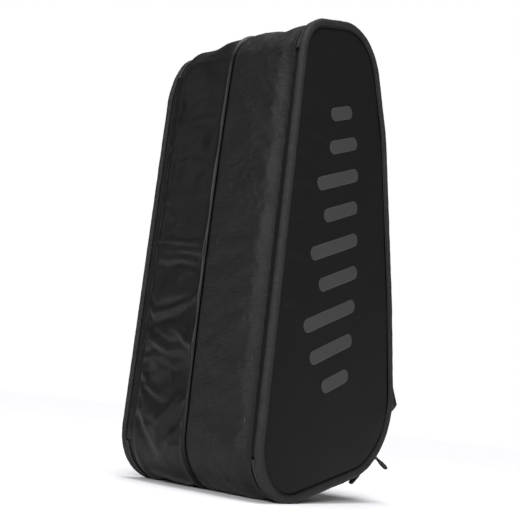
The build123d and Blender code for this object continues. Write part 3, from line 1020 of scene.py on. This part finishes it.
def make_pull(side, name, slider_angle, pull_angle):
    body = f"{SIDE_NAMES[side]}_{name}_pull"
    outward, along = (direction(math.radians(a)) for a in (slider_angle, pull_angle))
    pivot = np.array([ARC_X, -ZIP_DEPTH, ARC_Z]) + (ARC_RADIUS + PIVOT_HEIGHT) * outward
    out = direction(math.radians(pull_angle) + math.pi / 2)
    if out @ outward < 0:
        out = -out
    strip = Strip(pivot, pivot + along * GRIP_REACH, out, side=side)

    # A plated link with an eye at each end joins the slider's bail to the cord.
    eye = 2.6
    link = [
        ((-0.9, 0.5), (eye, eye), (-0.7, 0.7), 0),
        ((6.4, 9.6), (eye + 0.4, eye + 0.9), (-0.8, 0.8), 0),
        ((12.0, 13.6), (eye + 0.9, eye), (-0.8, 0.8), 0),
        ((-0.6, 7.0), (0.7, 0.7), (-0.7, 0.7), -2.2),
        ((-0.6, 7.0), (0.7, 0.7), (-0.7, 0.7), 2.2),
        ((9.0, 13.0), (0.8, 0.8), (-0.8, 0.8), -2.6),
        ((9.0, 13.0), (0.8, 0.8), (-0.8, 0.8), 2.6),
    ]
    piece = fused(body + "_link", strip, link, 0.35, 2)
    finish_piece(piece, body, SLIDER_METAL)

    route = [(CORD_REACH + 3, 1.9), (17, 2.2), (13.6, 1.9), (11.4, 1.0), (10.9, 0), (11.4, -1.0),
             (13.6, -1.9), (17, -2.2), (CORD_REACH + 3, -1.9)]
    path = smooth_loop(route, 70, closed=False)
    twist = np.arange(len(path))[:, None] * 0.55
    radius = 0.95 + 0.12 * np.cos(3 * AROUND_TUBE[None, :] - twist)
    over = 1.6 * np.exp(-((path[:, :1] - 13) / 1.4) ** 2)
    piece = tube(body + "_loop", strip, path, np.gradient(path, axis=0), radius,
                 radius * np.sin(AROUND_TUBE) + over, np.arange(len(path)) * 0.6,
                 AROUND_TUBE * 0.9, cap_u=True)
    finish_piece(piece, body, CORD_SKIN, [body + "_cord"])

    rows = end_rows(CORD_REACH, GRIP_REACH, 0.5)
    share = (rows - CORD_REACH) / (GRIP_REACH - CORD_REACH)
    waist = 1 - 0.2 * np.exp(-((share - 0.14) / 0.12) ** 2)
    closing = rounded_end(rows, 7)

    def ribs(w, across):
        band = step_up(w, CORD_REACH + 9, CORD_REACH + 11) * (1 - step_up(w, 43, 45))
        return 0.32 * band * np.cos(2 * math.pi * w / 2.6)

    piece = slab(body + "_moulding", strip, rows, 4.0 * waist * closing, 2.7 * waist * closing,
                 bulk=3.2, count=32, relief_of=ribs)
    finish_piece(piece, body, GRIP_RUBBER, [body + "_grip"])


for side in (NEAR, FAR):
    for name, slider_angle, pull_angle in SLIDERS:
        make_slider(side, name, slider_angle)
        make_pull(side, name, slider_angle, pull_angle)


# ------------------------------------------------------------------ handle

def face_x(height):
    """x of the carrying side at a height."""
    chosen = (NORMALS[:, 0] > 0.5) & (POINTS[:, 1] > 120) & (POINTS[:, 1] < 690)
    order = np.argsort(POINTS[chosen, 1])
    return np.interp(height, POINTS[chosen, 1][order], POINTS[chosen, 0][order])


def cloth_patch(name, height, y_middle, half_height, half_width, lift):
    """A stitched reinforcement that lies on the carrying side."""
    middle = run_at(face_x(height), height)
    t = np.linspace(-1, 1, 29)
    runs, ys = np.meshgrid(middle + half_height * t, y_middle + half_width * t, indexing="ij")
    edge = np.maximum(np.abs(t)[:, None], np.abs(t)[None, :])
    top = lift - 0.9 * edge ** 14 + 0.25 * relief(runs, ys, 18, 71)
    top = top - 0.45 * np.exp(-((edge - 0.86) / 0.05) ** 2)
    grid = np.concatenate([lifted(runs, ys, top), lifted(runs, ys, 0.2)[:, ::-1]], 1)
    return grid_piece(name, grid, runs[:, 0], np.concatenate([ys[0], ys[0] + 80]),
                      close_v=True, cap_u=True)


def box_stitch_rows(height, y_middle, half_height, half_width, lift):
    """A sewn box with a cross in it."""
    middle = run_at(face_x(height), height)
    corners = [(-1, -1), (1, -1), (1, 1), (-1, 1), (-1, -1), (1, 1), (1, -1), (-1, 1)]
    rows = []
    for (a, b), (c, d) in zip(corners[:-1], corners[1:]):
        share = np.linspace(0, 1, 24)
        run = middle + half_height * (a + (c - a) * share)
        rows.append(lifted(run, y_middle + half_width * (b + (d - b) * share), lift))
    return rows


def webbing(name, strip, start, end, width, tip, start_taper, end_taper, lift=0.0, dip=0.0):
    """Flat webbing, folded to a narrow tip where it tapers. dip is how far its first 110 mm
    sink towards the bag."""
    rows = end_rows(start, end, 2.5, 6)
    if dip:
        lift = lift - dip * np.sin(math.pi * np.clip((rows - start) / 110, 0, 1))
    half = np.full(len(rows), width / 2)
    if start_taper:
        half = np.minimum(half, tip / 2 + (rows - start) * (width - tip) / 2 / start_taper)
    if end_taper:
        half = np.minimum(half, tip / 2 + (end - rows) * (width - tip) / 2 / end_taper)
    thick = np.full(len(rows), 1.2) * rounded_end(rows, 40)
    return slab(name, strip, rows, half, thick, bulk=9, count=40, lift=lift,
                relief_of=lambda w, across: 0.1 * np.cos(2 * math.pi * across / 2.6))


def make_handle():
    low, high = 250.0, 420.0
    foot = (face_x(low) + 7.0, 0, low)
    top = (face_x(high) + 7.0, 0, high)
    strip = Strip(foot, top, (1, 0, 0), bow=42.0)
    for name, height in (("low", low), ("high", high)):
        piece = cloth_patch(f"handle_patch_{name}", height, 0, 22, 24, 2.6)
        replaced = ["handle_anchor_patches"] if name == "low" else []
        finish_piece(piece, "bag", ANCHOR_CLOTH, replaced)
        stitches(f"handle_patch_{name}_stitches", box_stitch_rows(height, 0, 17, 18, 2.7),
                 "bag")

    piece = webbing("handle_webbing_strap", strip, 0, strip.length, 28, 8, 18, 18)
    finish_piece(piece, "carry_handle", WEBBING, ["handle_webbing"])
    # The webbing's ends lie down on their patches.
    for name, start, height in (("low", foot, low - 16), ("high", top, high + 16)):
        tail = Strip(start, (face_x(height) + 3.4, 0, height), (1, 0, 0))
        piece = webbing(f"handle_tail_{name}", tail, -2, tail.length, 20, 8, 10, 0)
        finish_piece(piece, "bag", WEBBING)

    start = 0.17 * strip.length
    rows = end_rows(start, strip.length - start, 2.0)
    closing = rounded_end(rows, 9)

    def creases(w, across):
        return 0.35 * relief(w, across * 0.4, 12, 81) + 0.25 * relief(w, across, 26, 82)

    piece = slab("handle_sleeve", strip, rows, 17.0 * closing ** 0.4, 7.6 * closing ** 0.8,
                 bulk=2.7, count=44, relief_of=creases)
    finish_piece(piece, "carry_handle", GRIP_CLOTH, ["handle_grip"])
    share = np.linspace(start + 5, strip.length - start - 5, 60)
    stitches("handle_sleeve_stitches",
             [strip.points(share, np.full(60, a), np.full(60, 7.1)) for a in (-9.0, 9.0)],
             "carry_handle")


make_handle()


# ------------------------------------------------------------------ shoulder straps

def make_buckle(name, strip, middle):
    """A ladder-lock: two rails, a bar at each end and one that holds the webbing."""
    length, width, rail = 26.0, 34.0, 4.2
    low, high = middle - length / 2, middle + length / 2
    half = width / 2 - rail / 2
    bricks = []
    for across in (-half, half):
        bricks.append(((low + 1, high - 1), (rail / 2, rail / 2), (-2.4, 3.2), across))
    bricks.append(((low, low + 4.2), (half, half), (-1.6, 2.6), 0))
    bricks.append(((middle - 1.6, middle + 2.4), (half, half), (1.6, 4.0), 0))
    bricks.append(((high - 3.6, high), (half, half), (-2.8, 0.4), 0))
    bricks.append(((high - 5, high + 3), (half * 0.55, half * 0.45), (1.2, 3.0), 0))
    return fused(name, strip, bricks, 0.7)


def make_strap(side):
    name = SIDE_NAMES[side]
    body = name + "_strap"
    top_height, top_depth, top_standoff = 612.0, 38.0, 12.0
    foot_height, foot_depth, foot_standoff = 161.0, 120.0, 44.0
    foot = (face_x(foot_height) + foot_standoff, -foot_depth, foot_height)
    top = (face_x(top_height) + top_standoff, -top_depth, top_height)
    strip = Strip(foot, top, (1, 0, 0), bow=10.0, side=side)
    pad_start, pad_end = 0.36 * strip.length, 0.93 * strip.length

    rows = end_rows(pad_start, pad_end, 3.0, 14)
    closing = rounded_end(rows, 7)
    piece = slab(name + "_strap_pad_cloth", strip, rows, 26.6 * closing, 5.2 * closing ** 0.6,
                 bulk=3.0, count=64, sew=(-0.45, 0.45),
                 relief_of=lambda w, a: 0.35 * relief(w, a, 30, 91) + 0.15 * relief(w, a, 11, 92))
    finish_piece(piece, body, PAD_CLOTH, [name + "_strap_pad"])

    outline = np.concatenate([np.stack([rows, 26.0 * closing], -1),
                              np.stack([rows, -26.0 * closing], -1)[::-1]])
    run = distances(outline)
    wanted = np.linspace(0, run[-1], 260, endpoint=False)
    rim = np.stack([np.interp(wanted, run, outline[:, k]) for k in (0, 1)], -1)
    ahead = np.roll(rim, -1, 0) - np.roll(rim, 1, 0)
    piece = tube(name + "_strap_pad_binding", strip, rim, ahead, 1.5, 2.3 * np.sin(AROUND_TUBE),
                 wanted, AROUND_TUBE * 2, close_u=True)
    finish_piece(piece, body, BINDING_TAPE)

    parts = (
        # name, start, end, taper at the start and at the end, dip
        ("lower", 0, pad_start + 12, 100, 0, 9.0),
        ("upper", pad_end - 12, strip.length, 0, 18, 0.0),
    )
    for part, start, end, start_taper, end_taper, dip in parts:
        piece = webbing(f"{name}_strap_webbing_{part}", strip, start, end, 25, 8, start_taper,
                        end_taper, dip=dip)
        replaced = [name + "_strap_webbing"] if part == "lower" else []
        finish_piece(piece, body, WEBBING, replaced)
    middle = 0.27 * strip.length
    piece = webbing(name + "_strap_tail", strip, middle - 8, middle + 52, 25, 8, 0, 0, lift=3.6)
    finish_piece(piece, body, WEBBING)
    piece = make_buckle(name + "_strap_ladder_lock", strip, middle)
    finish_piece(piece, body, BUCKLE_PLASTIC, [name + "_strap_buckle"])

    # The triangular tab that holds the strap's foot, sewn into the gusset's outer seam.
    x0 = face_x(foot_height)
    corners = ((x0 - 6, foot_height - 46), (x0 + 20, foot_height - 22), (foot[0] + 1, foot_height - 3),
               (foot[0] + 1, foot_height + 3), (x0 + 18, foot_height + 24), (x0 - 8, foot_height + 45))
    outline = smooth_loop(corners, 70)
    center = outline.mean(0)
    shares = np.array([0.02, 0.4, 0.75, 0.86, 0.9, 0.94, 0.98, 1.0])
    thick = np.array([1.5, 1.5, 1.5, 1.3, 1.1, 1.4, 1.3, 0.5])
    flat = center + (outline[:, None, :] - center) * shares[None, :, None]
    front = place(flat[..., 0], side * (foot_depth + thick), flat[..., 1])
    back = place(flat[..., 0], side * (foot_depth - thick), flat[..., 1])
    grid = np.concatenate([front, back[:, ::-1]], 1)
    piece = grid_piece(name + "_strap_foot_cloth", grid, np.arange(70) * 3.0,
                       np.arange(grid.shape[1]) * 4.0, close_u=True, cap_v=True)
    finish_piece(piece, "bag", ANCHOR_CLOTH, [name + "_strap_foot_tab"])

    y_top = side * top_depth
    piece = cloth_patch(name + "_strap_top_patch", top_height, y_top, 20, 24, 3.4)
    finish_piece(piece, "bag", ANCHOR_CLOTH, [name + "_strap_top_anchor"])
    stitches(name + "_strap_top_stitches", box_stitch_rows(top_height, y_top, 15, 18, 3.6),
             "bag")
    end = np.array([face_x(top_height + 13) + 4.2, -top_depth, top_height + 13])
    tail = Strip(np.array(top), end, (1, 0, 0), side=side)
    piece = webbing(name + "_strap_top_tail", tail, -2, tail.length, 22, 8, 10, 0)
    finish_piece(piece, "bag", WEBBING)


for side in (NEAR, FAR):
    make_strap(side)


# ------------------------------------------------------------------ remaining CAD nodes

for node in ("near_base_board", "far_base_board"):
    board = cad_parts[node]
    board.data.materials.clear()
    board.data.materials.append(BOARD)


# ------------------------------------------------------------------ floor, light, camera

def make_floor():
    floor = mesh_piece("floor", [(-30, -30, 0), (30, -30, 0), (30, 30, 0), (-30, 30, 0)],
                       [(0, 1, 2, 3)])
    n = Nodes("floor")
    speckle = n.noise(n.node("ShaderNodeTexCoord").outputs["Object"], 3.0, 3.0)
    floor.data.materials.append(n.finish(n.mix(speckle, grey(0.93), grey(0.97)), 0.9,
                                         Specular_IOR_Level=0.0))


def make_world():
    """White behind the object, and a dimmer white for the light that falls on it."""
    world = bpy.data.worlds.new("studio")
    bpy.context.scene.world = world
    world.use_nodes = True
    tree = world.node_tree
    background = tree.nodes["Background"]
    path = tree.nodes.new("ShaderNodeLightPath")
    strength = tree.nodes.new("ShaderNodeMix")
    strength.inputs[2].default_value = 0.15
    strength.inputs[3].default_value = 1.0
    tree.links.new(path.outputs["Is Camera Ray"], strength.inputs[0])
    tree.links.new(strength.outputs[0], background.inputs["Strength"])
    background.inputs["Color"].default_value = (1, 1, 1, 1)


OBJECT_MIDDLE = (0, 0, 0.37)
AREA_LIGHTS = (
    # name, place and size in metres, watts
    ("key", (-1.95, -1.3, 0.95), (0.8, 0.8), 41),
    ("left", (-1.6, 1.6, 1.2), (0.5, 1.2), 2.5),
    ("front", (-0.5, -2.4, 0.8), (0.9, 1.6), 2),
    ("behind", (2.0, 1.3, 1.1), (1.0, 1.4), 7),
)


def add_lamp(light, location, aim):
    lamp = bpy.data.objects.new(light.name, light)
    lamp.location = location
    lamp.rotation_euler = (Vector(aim) - Vector(location)).to_track_quat("-Z", "Y").to_euler()
    bpy.context.scene.collection.objects.link(lamp)


def make_lights():
    fill = bpy.data.lights.new("floor_fill", "SUN")
    fill.energy = 2.75
    fill.angle = math.radians(40)
    add_lamp(fill, (0, 0, 0), (0.05, 0.05, -1))
    for name, location, size, power in AREA_LIGHTS:
        light = bpy.data.lights.new(name, "AREA")
        light.shape = "RECTANGLE"
        light.size, light.size_y = size
        light.energy = power
        add_lamp(light, location, OBJECT_MIDDLE)


def make_camera():
    azimuth, elevation, roll = (math.radians(a) for a in (-49.25, -10.63, 6.54))
    distance, target = 1.4062, Vector((130.0 + BASE_X, 0.0, 375.0 + FLOOR_Z)) * MM
    back = Vector((math.sin(azimuth) * math.cos(elevation),
                   -math.cos(azimuth) * math.cos(elevation), math.sin(elevation)))
    right = (-back).cross(Vector((0, 0, 1))).normalized()
    up = right.cross(-back)
    across = right * math.cos(roll) + up * math.sin(roll)
    upward = up * math.cos(roll) - right * math.sin(roll)
    data = bpy.data.cameras.new("camera")
    data.lens = 59.1
    data.shift_x = -0.0085
    data.shift_y = -0.0071
    camera = bpy.data.objects.new("camera", data)
    camera.matrix_world = Matrix.Translation(target + back * distance) @ \
        Matrix((across, upward, back)).transposed().to_4x4()
    bpy.context.scene.collection.objects.link(camera)
    bpy.context.scene.camera = camera


make_floor()
make_world()
make_lights()
make_camera()
bpy.context.scene.view_settings.view_transform = "Standard"
